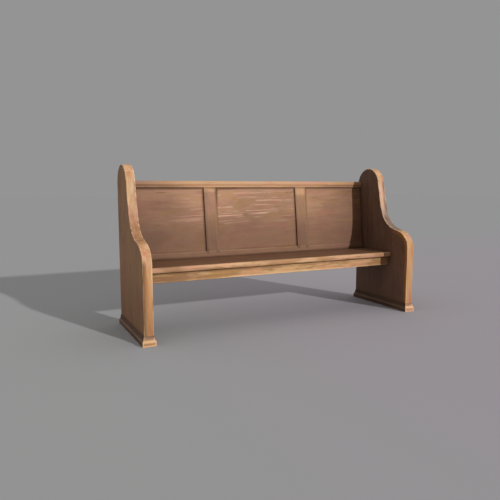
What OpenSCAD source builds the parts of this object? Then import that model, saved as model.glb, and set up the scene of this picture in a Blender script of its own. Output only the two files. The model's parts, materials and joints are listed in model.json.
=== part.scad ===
// Church pew: two curved ends glued up from boards, a flat seat, and a leaning back of three
// framed panels under a moulded cap. Millimetres, +Z up. The origin is on the floor, midway
// between the ends and midway between their front and back edges. The sitter faces -Y.

/* [Overall] */
// Length over the outer faces of the two ends
pew_len = 2000; // [1700:10:2400]
// Depth of an end, from its front edge to its back edge
end_d = 590; // [580:5:610]
// Height of an end at the top of its round head
end_h = 1050; // [1040:5:1070]
// Thickness of an end
end_t = 58; // [52:1:64]

/* [End outline] */
// Radius of the round head
head_r = 123; // [112:1:124]
// Lean of the straight neck under the head, in degrees from vertical
neck_lean = 12; // [10:1:14]
// Height where the straight neck runs into the waist
neck_z = 804; // [785:1:810]
// Radius of the long hollow waist
waist_r = 500; // [450:10:550]
// Lean where the waist runs into the crook, in degrees from vertical
waist_lean = 24; // [20:1:26]
// Radius of the hollow crook behind the arm
crook_r = 187; // [180:1:195]
// Slope of the straight arm, in degrees from horizontal
arm_slope = 15; // [12:1:18]
// Radius of the round shoulder at the front of the arm
shoulder_r = 125; // [115:1:130]

/* [End boards] */
// Width of the front board of an end
front_board_w = 160; // [155:5:165]
// Width of the middle board of an end
middle_board_w = 215; // [205:5:220]
// Thickness of a loose tongue between two boards
tongue_t = 10; // [8:1:12]
// Width of a loose tongue between two boards
tongue_w = 24; // [20:2:28]

/* [Foot moulding] */
// Height of the moulding round the foot of an end
foot_h = 60; // [56:1:66]
// How far the moulding stands out from the end
foot_p = 12; // [10:1:14]
// Height of the moulding's upright band
foot_band_h = 32; // [28:1:34]

/* [Seat] */
// Height of the seat's top face
seat_z = 421; // [415:1:435]
// Thickness of the seat boards
seat_t = 34; // [30:1:36]
// Distance of the seat's front edge behind the front edge of the ends
seat_setback = 174; // [172:1:185]
// Rounding radius of the seat's front edge
nosing_r = 12; // [8:1:14]
// Width of the front seat board
seat_board_w = 170; // [160:5:180]
// Distance of the front rail behind the seat's front edge
rail_setback = 24; // [15:1:25]
// Thickness of the front rail
rail_t = 25; // [22:1:28]
// Height of the front rail
rail_h = 63; // [58:1:68]

/* [Back] */
// Lean of the back, in degrees from vertical
back_lean = 7.2; // [6:0.1:8]
// Height of the back's top edge
back_top = 950; // [940:1:960]
// Thickness of the back's rails and muntins
frame_t = 22; // [20:1:24]
// Wood left behind the back at the level of its top edge
back_gap = 6; // [5:1:8]
// Height of the cap
cap_h = 29; // [26:1:32]
// How far the cap stands forward of the rails
cap_p = 6; // [3:1:8]
// Height of the top rail's face below the cap
top_rail_h = 16; // [14:1:20]
// Height of the bottom rail above the seat
bottom_rail_rise = 47; // [42:1:52]
// Depth of the bottom rail below the seat's top face
bottom_rail_drop = 80; // [74:1:84]
// Width of a muntin
muntin_w = 92; // [84:1:100]
// Distance of a muntin's middle from the pew's middle
muntin_x = 368; // [330:1:400]
// Thickness of a panel
panel_t = 7; // [6:1:8]
// Depth of a panel's face behind the rails' face
panel_set = 8; // [7:1:9]

/* [Hidden] */
left = -1;
right = 1;
eps = 0.1;
$fn = 96;

// Joinery
housing_d = 12;         // depth of the seat's and the back's housings in an end
seat_shoulder_h = seat_t / 4;   // the seat's top layer stops at the ends; the rest is housed
groove_d = 9;           // depth of a panel groove
panel_play = 1;         // free space for a panel's movement, at each edge
stub_h = 8;             // tongue of the top rail in the cap
stub_t = 7;
muntin_tenon = 25;      // tenon of a muntin in the bottom rail
muntin_shoulder = 10;   // set-in of a muntin's tenon from its edges
rail_tenon = 20;        // tenon of the front rail in an end
rail_tenon_t = 12;
rail_tenon_set = 11;    // set-in of that tenon from the rail's top and bottom
tongue_stop = 40;       // a tongue stops this far from the floor and from the outline
tongue_neck_z = 880;    // and the rear one stops at the neck
bearer_tenon = 9;       // tenon of a cross bearer in the front rail

// Supports under the seat
cleat_t = 25;
cleat_h = 40;
cleat_gap = 5;          // between the front rail and a cleat
cleat_back_gap = 12;    // between a cleat and the back
bearer_t = 30;
bearer_h = 44;
bearer_tenon_t = 12;
bearer_tenon_h = 26;

// Screws
screw_r = 2.5;
screw_head_r = 5;
screw_head_h = 3;
screw_tip = 8;
screw_slot = 1.2;
cleat_screw_len = 50;
seat_screw_len = 60;
cleat_screw_y = [-40, 45, 150];
seat_screw_y = [-10, 110];
back_screw_x = [-800, -560, -140, 140, 560, 800];

// Places that follow from the driving dimensions
front_y = -end_d / 2;
rear_y = end_d / 2;
inner_x = pew_len / 2 - end_t;
housed_x = inner_x + housing_d;
seat_front_y = front_y + seat_setback;
seat_under_z = seat_z - seat_t;
rail_y = seat_front_y + rail_setback;
cap_v = (back_top - seat_z) / cos(back_lean);
rail_top_v = cap_v - cap_h;
panel_top_v = rail_top_v - top_rail_h;
back_y = rear_y - back_gap - frame_t * cos(back_lean) - cap_v * sin(back_lean);
bearer_x = muntin_x;
back_screw_scale = pew_len / 2000;
seat_joint_y = seat_front_y + seat_board_w;
board_u = [0, front_board_w, front_board_w + middle_board_w, end_d];

// The outline of an end, in a plane with u from its front edge and v up from the floor.
// Round the head, down the neck, waist and crook, along the arm and over the shoulder.
step_deg = 3;
function turn(a) = [cos(a), sin(a)];
function arc(centre, r, a, b) =
    let (n = ceil(abs(b - a) / step_deg))
    [for (i = [0:n]) centre + r * turn(a + (b - a) * i / n)];

head_c = [end_d - head_r, end_h - head_r];
neck_top = head_c + head_r * turn(180 - neck_lean);
neck_low = [neck_top.x - (neck_top.y - neck_z) * tan(neck_lean), neck_z];
waist_c = neck_low - waist_r * turn(-neck_lean);
waist_low = waist_c + waist_r * turn(-waist_lean);
crook_c = waist_low - crook_r * turn(-waist_lean);
crook_low = crook_c + crook_r * turn(arm_slope - 90);
shoulder_u = shoulder_r * (1 - sin(arm_slope));
shoulder_v = crook_low.y - (crook_low.x - shoulder_u) * tan(arm_slope);
shoulder_c = [shoulder_r, shoulder_v - shoulder_r * cos(arm_slope)];
outline = concat(
    [[end_d, 0]],
    arc(head_c, head_r, 0, 180 - neck_lean),
    arc(waist_c, waist_r, -neck_lean, -waist_lean),
    arc(crook_c, crook_r, -waist_lean, arm_slope - 90),
    arc(shoulder_c, shoulder_r, 90 + arm_slope, 180),
    [[0, 0]]);
arm_joint_v = shoulder_v + (board_u[1] - shoulder_u) * tan(arm_slope);

wood_end = "#b87a49";
wood_foot = "#c58a55";
wood_back = "#b97d4f";
wood_panel = "#a06a45";
wood_seat = "#8a5a3a";
wood_plain = "#c9a273";
steel = "#8d8f92";

// Everything at an end is drawn at the right and mirrored to the left.
module at_side(side) {
    if (side == right)
        children();
    else
        mirror([1, 0, 0])
            children();
}

// A section drawn in y and z, run along X about the pew's middle
module along_x(half_len) {
    rotate([90, 0, 90])
        linear_extrude(2 * half_len, center = true)
            children();
}

// The leaning frame of the back: y is depth behind the rails' face, z is height up the slope
// from the level of the seat.
module in_back() {
    translate([0, back_y, seat_z])
        rotate([-back_lean, 0, 0])
            children();
}

// A rectangle whose two front corners are rounded
module nosed(w, h, r) {
    translate([r, 0])
        square([w - r, h]);
    translate([0, r])
        square([r, h - 2 * r]);
    for (v = [r, h - r])
        translate([r, v])
            circle(r);
}

// A countersunk screw pointing up, with its head's face at the origin
module screw_body(len) {
    rotate_extrude()
        polygon([[0, 0], [screw_head_r, 0], [screw_r, screw_head_h],
                 [screw_r, len - screw_tip], [screw_r / 4, len], [0, len]]);
}

module screw(len) {
    difference() {
        screw_body(len);
        translate([-screw_head_r - eps, -screw_slot / 2, -eps])
            cube([2 * (screw_head_r + eps), screw_slot, screw_slot + eps]);
    }
}

// Where the screws go. Each module puts its child, a screw pointing up, in every place.
module at_cleat_screws() {
    for (y = cleat_screw_y)
        translate([inner_x - cleat_t, y, seat_under_z - cleat_h / 2])
            rotate([0, 90, 0])
                children();
}

module at_seat_screws(x, z) {
    for (y = seat_screw_y)
        translate([x, y, z])
            children();
}

module at_back_screws() {
    for (x = back_screw_x)
        in_back()
            translate([x * back_screw_scale, frame_t, -seat_t / 2])
                rotate([90, 0, 0])
                    children();
}

module at_bearer_screws() {
    for (x = [-bearer_x, bearer_x])
        in_back()
            translate([x, frame_t, -seat_t - bearer_h / 2])
                rotate([90, 0, 0])
                    children();
}

cleat_screw_x = inner_x - cleat_t / 2;
cleat_under_z = seat_under_z - cleat_h;
bearer_under_z = seat_under_z - bearer_h;

module seat_screw_holes() {
    for (side = [left, right])
        at_side(side) {
            at_seat_screws(cleat_screw_x, cleat_under_z)
                screw_body(seat_screw_len);
            at_seat_screws(bearer_x, bearer_under_z)
                screw_body(seat_screw_len);
        }
}

// ---- The seat ----

// The whole seat's section: rounded at the front, cut to the lean of the back behind
module seat_section() {
    rear_top = back_y;
    rear_low = back_y - seat_t * tan(back_lean);
    translate([seat_front_y, seat_under_z])
        nosed(seat_board_w, seat_t, nosing_r);
    polygon([[seat_joint_y - eps, seat_under_z], [rear_low, seat_under_z],
             [rear_top, seat_z], [seat_joint_y - eps, seat_z]]);
}

// The seat, with a barefaced tongue at each end
module seat_solid() {
    difference() {
        along_x(housed_x)
            seat_section();
        for (side = [left, right])
            at_side(side)
                translate([inner_x, front_y, seat_z - seat_shoulder_h])
                    cube([end_t, end_d, seat_shoulder_h + eps]);
    }
}

module seat_tongue_solid() {
    translate([-inner_x, seat_joint_y - tongue_w / 2, seat_under_z + (seat_t - tongue_t) / 2])
        cube([2 * inner_x, tongue_w, tongue_t]);
}

module seat_board(y0, y1) {
    difference() {
        intersection() {
            seat_solid();
            translate([-pew_len, y0, 0])
                cube([2 * pew_len, y1 - y0, end_h]);
        }
        seat_tongue_solid();
        seat_screw_holes();
        at_back_screws()
            screw_body(seat_screw_len);
    }
}

module seat_board_front() {
    color(wood_seat)
        seat_board(front_y, seat_joint_y);
}

module seat_board_back() {
    color(wood_seat)
        seat_board(seat_joint_y, rear_y);
}

module seat_tongue() {
    color(wood_plain)
        seat_tongue_solid();
}

// The front rail, with a tenon at each end
module seat_rail_solid() {
    translate([-inner_x, rail_y, seat_under_z - rail_h])
        cube([2 * inner_x, rail_t, rail_h]);
    translate([-inner_x - rail_tenon, rail_y + (rail_t - rail_tenon_t) / 2,
               seat_under_z - rail_h + rail_tenon_set])
        cube([2 * (inner_x + rail_tenon), rail_tenon_t, rail_h - 2 * rail_tenon_set]);
}

module seat_rail() {
    color(wood_back)
        difference() {
            seat_rail_solid();
            for (side = [left, right])
                at_side(side)
                    bearer_tenon_solid();
        }
}

// A cleat on the inner face of an end, which carries the seat boards
module cleat(side) {
    y0 = rail_y + rail_t + cleat_gap;
    y1 = back_y - cleat_h * tan(back_lean) - cleat_back_gap;
    color(wood_plain)
        at_side(side)
            difference() {
                translate([inner_x - cleat_t, y0, cleat_under_z])
                    cube([cleat_t, y1 - y0, cleat_h]);
                at_cleat_screws()
                    screw_body(cleat_screw_len);
                at_seat_screws(cleat_screw_x, cleat_under_z)
                    screw_body(seat_screw_len);
            }
}

// A cross bearer from the front rail to the bottom rail of the back
module bearer_tenon_solid() {
    translate([bearer_x - bearer_tenon_t / 2, rail_y + rail_t - bearer_tenon,
               bearer_under_z + (bearer_h - bearer_tenon_h) / 2])
        cube([bearer_tenon_t, bearer_tenon + eps, bearer_tenon_h]);
}

module bearer(side) {
    y0 = rail_y + rail_t;
    color(wood_plain)
        at_side(side)
            difference() {
                union() {
                    translate([bearer_x - bearer_t / 2, y0, bearer_under_z])
                        cube([bearer_t, back_y - y0, bearer_h]);
                    bearer_tenon_solid();
                }
                in_back()
                    translate([0, 0, -end_h])
                        cube([pew_len, end_d, 2 * end_h]);
                at_seat_screws(bearer_x, bearer_under_z)
                    screw_body(seat_screw_len);
                at_bearer_screws()
                    screw_body(seat_screw_len);
            }
}

// ---- The back, in its leaning frame ----

module bottom_rail_section() {
    difference() {
        translate([0, -bottom_rail_drop])
            square([frame_t, bottom_rail_drop + bottom_rail_rise]);
        translate([panel_set, bottom_rail_rise - groove_d])
            square([panel_t, groove_d + eps]);
    }
}

module stub_section(extra) {
    translate([(frame_t - stub_t) / 2, rail_top_v - extra])
        square([stub_t, stub_h + extra]);
}

module top_rail_section() {
    difference() {
        union() {
            translate([0, panel_top_v])
                square([frame_t, top_rail_h]);
            stub_section(eps);
        }
        translate([panel_set, panel_top_v - eps])
            square([panel_t, groove_d + eps]);
    }
}

cap_nosing_r = 9;
module cap_section() {
    translate([-cap_p, rail_top_v])
        nosed(cap_p + frame_t, cap_h, cap_nosing_r);
}

// A muntin's tenons: a long one below, and one above as deep as the panel groove
module muntin_tenons(x) {
    w = muntin_w - 2 * muntin_shoulder;
    translate([x - w / 2, panel_set, bottom_rail_rise - muntin_tenon])
        cube([w, panel_t, panel_top_v - bottom_rail_rise + muntin_tenon + groove_d]);
}

module back_bottom_rail() {
    color(wood_back)
        difference() {
            in_back()
                difference() {
                    along_x(housed_x)
                        bottom_rail_section();
                    for (x = [-muntin_x, muntin_x])
                        muntin_tenons(x);
                }
            at_back_screws()
                screw_body(seat_screw_len);
            at_bearer_screws()
                screw_body(seat_screw_len);
        }
}

module back_top_rail() {
    color(wood_back)
        in_back()
            along_x(housed_x)
                top_rail_section();
}

module back_cap() {
    color(wood_back)
        in_back()
            along_x(housed_x)
                difference() {
                    cap_section();
                    stub_section(eps);
                }
}

module muntin(x) {
    h = panel_top_v - bottom_rail_rise;
    color(wood_back)
        in_back() {
            difference() {
                translate([x - muntin_w / 2, 0, bottom_rail_rise])
                    cube([muntin_w, frame_t, h]);
                for (edge = [-1, 1])
                    translate([x + edge * muntin_w / 2 - groove_d, panel_set, bottom_rail_rise - eps])
                        cube([2 * groove_d, panel_t, h + 2 * eps]);
            }
            muntin_tenons(x);
        }
}

// A panel between two frame edges, with its own edges lying in the grooves
module panel(x0, x1) {
    lip = groove_d - panel_play;
    color(wood_panel)
        in_back()
            translate([x0 - lip, panel_set, bottom_rail_rise - lip])
                cube([x1 - x0 + 2 * lip, panel_t, panel_top_v - bottom_rail_rise + 2 * lip]);
}

module back_panel_middle() {
    panel(-muntin_x + muntin_w / 2, muntin_x - muntin_w / 2);
}

module back_panel_side(side) {
    at_side(side)
        panel(muntin_x + muntin_w / 2, inner_x);
}

// ---- The ends ----

module tongue_solid(u, z1) {
    translate([inner_x + (end_t - tongue_t) / 2, front_y + u - tongue_w / 2, tongue_stop])
        cube([tongue_t, tongue_w, z1 - tongue_stop]);
}

module front_tongue_solid() {
    tongue_solid(board_u[1], arm_joint_v - tongue_stop);
}

module back_tongue_solid() {
    tongue_solid(board_u[2], tongue_neck_z);
}

// Housings and mortises in the inner face of an end
module end_cuts() {
    seat_solid();
    seat_rail_solid();
    in_back() {
        along_x(housed_x)
            bottom_rail_section();
        along_x(housed_x)
            top_rail_section();
        along_x(housed_x)
            cap_section();
        translate([inner_x - groove_d, panel_set, bottom_rail_rise - groove_d])
            cube([2 * groove_d, panel_t, panel_top_v - bottom_rail_rise + 2 * groove_d]);
    }
    at_cleat_screws()
        screw_body(cleat_screw_len);
    front_tongue_solid();
    back_tongue_solid();
}

// One board of an end; i counts from the front
module end_board(side, i) {
    color(wood_end)
        at_side(side)
            difference() {
                translate([inner_x, front_y, 0])
                    rotate([90, 0, 90])
                        linear_extrude(end_t)
                            intersection() {
                                polygon(outline);
                                translate([board_u[i], 0])
                                    square([board_u[i + 1] - board_u[i], end_h]);
                            }
                end_cuts();
            }
}

module end_tongue_front(side) {
    color(wood_plain)
        at_side(side)
            front_tongue_solid();
}

module end_tongue_back(side) {
    color(wood_plain)
        at_side(side)
            back_tongue_solid();
}

// The foot moulding: an upright band with an eased edge, a hollow above it, and a small fillet.
// It is mitred at both corners. len is the length of the face that it covers.
foot_ease = 2.5;
foot_fillet_w = 3;
foot_fillet_h = 5;
module foot_section() {
    hollow_w = foot_p - foot_ease - foot_fillet_w;
    hollow_h = foot_h - foot_fillet_h - foot_band_h;
    difference() {
        polygon([[0, 0], [foot_p, 0], [foot_p, foot_band_h - foot_ease],
                 [foot_p - foot_ease, foot_band_h],
                 [foot_fillet_w, foot_h - foot_fillet_h],
                 [foot_fillet_w, foot_h], [0, foot_h]]);
        translate([foot_p - foot_ease, foot_h - foot_fillet_h])
            intersection() {
                scale([1, hollow_h / hollow_w])
                    circle(hollow_w);
                translate([-hollow_w, -hollow_h])
                    square([hollow_w, hollow_h]);
            }
    }
}

module foot_piece(len) {
    intersection() {
        rotate([90, 0, -90])
            linear_extrude(len + 2 * foot_p, center = true)
                foot_section();
        linear_extrude(foot_h)
            polygon([[-len / 2, 0], [len / 2, 0],
                     [len / 2 + foot_p, -foot_p], [-len / 2 - foot_p, -foot_p]]);
    }
}

module foot_at(side, x, y, angle, len) {
    color(wood_foot)
        at_side(side)
            translate([x, y, 0])
                rotate([0, 0, angle])
                    foot_piece(len);
}

end_mid_x = inner_x + end_t / 2;

module foot_front(side) {
    foot_at(side, end_mid_x, front_y, 0, end_t);
}

module foot_back(side) {
    foot_at(side, end_mid_x, rear_y, 180, end_t);
}

module foot_outer(side) {
    foot_at(side, pew_len / 2, 0, 90, end_d);
}

module foot_inner(side) {
    foot_at(side, inner_x, 0, -90, end_d);
}

// ---- The screws ----

module cleat_screws() {
    color(steel)
        for (side = [left, right])
            at_side(side)
                at_cleat_screws()
                    screw(cleat_screw_len);
}

module seat_screws() {
    color(steel)
        for (side = [left, right])
            at_side(side) {
                at_seat_screws(cleat_screw_x, cleat_under_z)
                    screw(seat_screw_len);
                at_seat_screws(bearer_x, bearer_under_z)
                    screw(seat_screw_len);
            }
}

module back_screws() {
    color(steel) {
        at_back_screws()
            screw(seat_screw_len);
        at_bearer_screws()
            screw(seat_screw_len);
    }
}

end_board(left, 0);  // end_left_board_front
end_board(left, 1);  // end_left_board_middle
end_board(left, 2);  // end_left_board_back
end_tongue_front(left);  // end_left_tongue_front
end_tongue_back(left);  // end_left_tongue_back
end_board(right, 0);  // end_right_board_front
end_board(right, 1);  // end_right_board_middle
end_board(right, 2);  // end_right_board_back
end_tongue_front(right);  // end_right_tongue_front
end_tongue_back(right);  // end_right_tongue_back
foot_front(left);  // foot_left_front
foot_back(left);  // foot_left_back
foot_outer(left);  // foot_left_outer
foot_inner(left);  // foot_left_inner
foot_front(right);  // foot_right_front
foot_back(right);  // foot_right_back
foot_outer(right);  // foot_right_outer
foot_inner(right);  // foot_right_inner
seat_board_front();
seat_board_back();
seat_tongue();
seat_rail();
cleat(left);  // cleat_left
cleat(right);  // cleat_right
bearer(left);  // bearer_left
bearer(right);  // bearer_right
back_bottom_rail();
back_top_rail();
back_cap();
muntin(-muntin_x);  // back_muntin_left
muntin(muntin_x);  // back_muntin_right
back_panel_side(left);  // back_panel_left
back_panel_middle();
back_panel_side(right);  // back_panel_right
cleat_screws();
seat_screws();
back_screws();
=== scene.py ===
import json
import math
import random

import bmesh
import bpy
import numpy as np
from mathutils import Matrix, Vector
from mathutils.bvhtree import BVHTree


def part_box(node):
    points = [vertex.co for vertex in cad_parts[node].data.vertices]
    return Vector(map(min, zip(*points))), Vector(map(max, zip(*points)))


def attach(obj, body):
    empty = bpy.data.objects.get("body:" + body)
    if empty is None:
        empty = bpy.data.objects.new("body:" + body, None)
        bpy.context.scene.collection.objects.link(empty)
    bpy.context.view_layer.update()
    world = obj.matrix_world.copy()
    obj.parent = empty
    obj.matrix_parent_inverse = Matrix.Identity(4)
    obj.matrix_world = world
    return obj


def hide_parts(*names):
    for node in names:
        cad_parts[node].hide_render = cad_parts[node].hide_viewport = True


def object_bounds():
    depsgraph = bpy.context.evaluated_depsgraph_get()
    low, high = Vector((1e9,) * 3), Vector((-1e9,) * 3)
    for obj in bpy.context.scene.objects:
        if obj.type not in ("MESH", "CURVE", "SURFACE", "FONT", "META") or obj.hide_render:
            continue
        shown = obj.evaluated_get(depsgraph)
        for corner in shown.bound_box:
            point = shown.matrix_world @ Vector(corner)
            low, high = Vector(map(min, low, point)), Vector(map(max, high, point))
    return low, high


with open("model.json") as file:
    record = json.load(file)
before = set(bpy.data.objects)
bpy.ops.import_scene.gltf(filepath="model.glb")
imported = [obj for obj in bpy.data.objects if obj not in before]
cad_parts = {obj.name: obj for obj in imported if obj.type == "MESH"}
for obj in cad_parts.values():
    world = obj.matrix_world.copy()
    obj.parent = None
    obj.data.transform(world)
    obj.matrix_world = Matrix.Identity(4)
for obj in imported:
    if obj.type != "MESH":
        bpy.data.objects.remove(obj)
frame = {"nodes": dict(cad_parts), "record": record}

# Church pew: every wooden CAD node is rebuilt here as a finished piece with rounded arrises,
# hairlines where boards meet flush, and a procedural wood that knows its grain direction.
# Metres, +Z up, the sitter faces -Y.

MM = 0.001
NODES = frame["nodes"]
SLOT_OF = {part["node"]: part["material_slot"] for part in frame["record"]["subparts"]}
CAD_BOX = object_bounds()
BACK_LOW, BACK_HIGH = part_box("back_panel_middle")
SEED = 1887

# ---- The camera and the light, as in the studio ----

CAMERA_PLACE = (-1.7344, -3.1681, 0.9113)
CAMERA_DOWN = 6.915          # degrees below the horizon
CAMERA_TURN = 26.10          # degrees from +Y towards +X
CAMERA_LENS = 37.67
CAMERA_FAR = 200.0
SENSOR = 36.0
TO_SUN = Vector((0.351, -0.868, 0.350))
SUN_POWER = 2.66
SUN_ANGLE = 1.6              # degrees, for slightly soft shadow edges
SKY_LOW = 0.296              # radiance of the studio near the horizon
SKY_HIGH = 0.70              # and overhead
SKY_RISE = (0.35, 0.85)      # upward part of the direction where it changes
FLOOR_GREY = (0.345, 0.345, 0.345)
FLOOR_COLOUR = (0.356, 0.332, 0.352)   # the studio paper, seen to the right
FLOOR_ASIDE = (-1.5, 0.3)              # where its colour changes, across
FLOOR_AWAY = (6.0, 0.5)                # and behind the pew
FLOOR_SIZE = 90.0

# ---- Shapes of the worked edges, in metres ----

END_ROUND = 5 * MM           # on the ends' curved outline
REAR_ROUND = 3 * MM          # on their rear edge, which stands near the back's housing
RAIL_ROUND = 1.8 * MM
MUNTIN_ROUND = 1.2 * MM
FOOT_ROUND = 0.8 * MM
ROUGH_ROUND = 1.0 * MM       # on cleats and bearers
HAIRLINE = 0.45 * MM         # where two pieces meet flush
END_SEGMENTS = 5             # of a rounded edge on the ends
SEGMENTS = 2                 # and on the other pieces
FOOT_STANDS = 12 * MM        # how far the foot mouldings stand out from the ends
REAR_BAND = 3 * MM           # an edge this near an end's rear plane is a rear one
SHORT = 2 * MM               # a free edge shorter than this stays sharp
LEDGE = 6 * MM               # an edge this near the bottom rail's top is the panels' ledge
SHARP = math.radians(30)     # edges that turn more than this are arrises
FLAT = math.radians(0.3)
BLEND = math.cos(math.radians(52))     # faces nearer in direction than this share a normal
ALONG = 0.99                 # an edge this close to the x direction runs along the piece
BROAD = 0.03                 # square metres: a face this large is flat, whatever curve it runs into
PROBE = 1.5 * MM
NUDGE = 1e-5                 # how far a ray starts beyond the last surface
NO_LENGTH = 1e-12            # keeps a division away from zero
SAME = 0.01 * MM             # points closer than this are one
REACH_ARRIS = 30 * MM        # how far the two attributes below reach
REACH_CORNER = 45 * MM
FAINT_CORNER_SHARE = (0.70, 1.00)   # how much of a faint corner's dirt and painted shade is left, at the seat and at the cap

# ---- Where the finished pieces are cut, for the attributes at their vertices ----

FINE = (2 * MM, 5 * MM, 10 * MM, 18 * MM, 30 * MM)     # places beside an arris or a corner
CUT_MARGIN = 0.8 * MM        # no cut lies closer to the piece's ends
CUT_APART = 1.2 * MM         # or to the last one
CUT_SNAP = 0.02 * MM         # a cut this close to a vertex goes through it
MARK_DIGITS = 5              # marks that agree to so many decimals are one
CUT_GAP = (0.08, 0.05, 0.05)           # the widest spacing of cuts along each axis
END_CUT_GAP = (0.05, 0.016, 0.016)
NEAR_PIECE = 3 * MM          # corners this close to a piece's box are cut for


# ---- The pieces' own frames ----

def back_lean():
    """How far the back leans, in radians, from the largest face of the middle panel."""
    faces = NODES["back_panel_middle"].data.polygons
    normal = max(faces, key=lambda f: f.area if f.normal.y < 0 else 0).normal
    return math.atan2(normal.z, -normal.y)


LEAN = back_lean()
UPRIGHT = Matrix.Identity(3)
LEANING = Matrix.Rotation(-LEAN, 3, "X")


def leans(node):
    return node.startswith("back_")


def axes_of(node):
    """The directions along which a piece is made: the back's pieces lean."""
    return LEANING if leans(node) else UPRIGHT


def grain_of(node):
    """The axis, 0 1 or 2 in the piece's own frame, that the grain follows."""
    if node.startswith("end_") or "muntin" in node:
        return 2
    if node.startswith(("cleat_", "bearer_")) or node.endswith(("_outer", "_inner")):
        return 1
    return 0


def round_of(node):
    if node.startswith("end_"):
        return END_ROUND
    if node.startswith("foot_"):
        return FOOT_ROUND
    if node.startswith(("cleat_", "bearer_")):
        return ROUGH_ROUND
    return MUNTIN_ROUND if "muntin" in node else RAIL_ROUND


# ---- What is solid where ----

PROBE_RAY = Vector((0.5345, 0.2673, 0.8018))


def solid_of(node):
    """The node's surface as a search tree, and its box."""
    mesh = NODES[node].data
    points = [v.co for v in mesh.vertices]
    tree = BVHTree.FromPolygons(points, [tuple(f.vertices) for f in mesh.polygons])
    low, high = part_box(node)
    return tree, low, high


SOLIDS = {node: solid_of(node) for node in sorted(NODES)}


def within(low, high, p):
    return all(low[i] <= p[i] <= high[i] for i in range(3))


def inside(node, p):
    """Whether p is in that node's wood: a ray from it crosses the surface an odd number of times."""
    tree, low, high = SOLIDS[node]
    if not within(low, high, p):
        return False
    crossings = 0
    start = p
    while True:
        hit = tree.ray_cast(start, PROBE_RAY)[0]
        if hit is None:
            return crossings % 2 == 1
        crossings += 1
        start = hit + PROBE_RAY * NUDGE


def covered(node, p):
    """Whether another piece's wood is at p."""
    return any(inside(other, p) for other in SOLIDS if other != node)


# ---- Reading the CAD mesh ----

def cad_bmesh(node):
    """The node's mesh, with its triangles joined back into whole flat faces."""
    bm = bmesh.new()
    bm.from_mesh(NODES[node].data)
    bmesh.ops.remove_doubles(bm, verts=bm.verts, dist=SAME)
    bmesh.ops.dissolve_limit(bm, angle_limit=FLAT, verts=bm.verts, edges=bm.edges)
    bm.normal_update()
    return bm


def middle_of(edge):
    return (edge.verts[0].co + edge.verts[1].co) / 2


def edge_kind(node, edge):
    """free where air is on both sides, flush where another piece carries the surface on,
    corner where another piece stands on it, or hidden."""
    if len(edge.link_faces) != 2 or edge.calc_face_angle_signed(0) < SHARP:
        return "hidden"
    one, two = (f.normal for f in edge.link_faces)
    middle = middle_of(edge)
    front = covered(node, middle + (one - two / 2) * PROBE)
    side = covered(node, middle + (two - one / 2) * PROBE)
    beyond = covered(node, middle + (one + two) * PROBE)
    if beyond:
        return "corner" if front != side else "hidden"
    return "flush" if front or side else "free"


def smooth_turn(edge):
    """Whether the edge is one of the fine facets of a rounded nosing, and runs along the piece."""
    along = abs((edge.verts[1].co - edge.verts[0].co).normalized().x)
    return len(edge.link_faces) == 2 and FLAT < edge.calc_face_angle_signed(0) < SHARP and along > ALONG


def faint_corner(node, edge):
    """Whether a corner gets only a faint share of the dirt and painted shade: under the panels, and on the
    muntins' right, which face the light.
    """
    low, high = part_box(node)
    middle = middle_of(edge)
    if "muntin" in node:
        return middle.x > (low.x + high.x) / 2
    return node == "back_bottom_rail" and middle.z > high.z - LEDGE


def lines(edges):
    return np.array([[e.verts[0].co, e.verts[1].co] for e in edges], float).reshape(-1, 2, 3)


def survey(node):
    """The piece's bmesh, its edges' kinds, and the lines that wear and the corners' dirt and painted shade
    follow.
    """
    bm = cad_bmesh(node)
    kinds = [edge_kind(node, e) for e in bm.edges]
    nosed = node in ("seat_board_front", "back_cap")
    arris = [e for e, kind in zip(bm.edges, kinds) if kind == "free" or (nosed and smooth_turn(e))]
    corner = [e for e, kind in zip(bm.edges, kinds) if kind == "corner"]
    faint_lines = [e for e in corner if faint_corner(node, e)]
    return bm, kinds, lines(arris), lines([e for e in corner if e not in faint_lines]), lines(faint_lines)


# ---- Rounding, cutting and smoothing ----

def rear_arris(edge):
    """Whether the edge is an end's straight rear edge, or its head just above it."""
    rear_y = CAD_BOX[1].y - FOOT_STANDS
    return all(v.co.y > rear_y - REAR_BAND for v in edge.verts)


def wanted_round(node, edge, kind):
    if kind == "flush":
        return HAIRLINE
    if kind != "free" or edge.calc_length() < SHORT and not node.startswith("end_"):
        return 0.0
    if node.startswith("end_") and rear_arris(edge):
        return REAR_ROUND
    return round_of(node)


def marked(node, bm, kinds):
    """A mesh of the piece with each edge's share of its rounding, and its flat faces marked."""
    most = round_of(node)
    weight = bm.edges.layers.float.new("bevel_weight_edge")
    flat = bm.faces.layers.int.new("flat_face")
    for edge, kind in zip(bm.edges, kinds):
        edge[weight] = min(1.0, wanted_round(node, edge, kind) / most)
    for face in bm.faces:
        turns = [abs(e.calc_face_angle(0)) for e in face.edges]
        face[flat] = int(face.calc_area() > BROAD or all(t < FLAT or t > SHARP / 2 for t in turns))
    mesh = bpy.data.meshes.new(node + "_plain")
    bm.to_mesh(mesh)
    bm.free()
    mesh.materials.append(None)
    mesh.materials.append(None)
    return mesh


def rounded(node, bm, kinds, segments):
    """The piece with its arrises rounded, as a new bmesh. Faces made by the rounding have material 1."""
    mesh = marked(node, bm, kinds)
    piece = bpy.data.objects.new(node + "_plain", mesh)
    bpy.context.scene.collection.objects.link(piece)
    bevel = piece.modifiers.new("rounding", "BEVEL")
    bevel.limit_method = "WEIGHT"
    bevel.width = round_of(node)
    bevel.segments = segments
    bevel.use_clamp_overlap = False
    bevel.material = 1
    graph = bpy.context.evaluated_depsgraph_get()
    done = bmesh.new()
    done.from_mesh(piece.evaluated_get(graph).to_mesh())
    bpy.data.objects.remove(piece)
    bpy.data.meshes.remove(mesh)
    low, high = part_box(node)
    for vert in done.verts:
        vert.co = Vector(min(max(value, a), b) for value, a, b in zip(vert.co, low, high))
    return done


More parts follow.
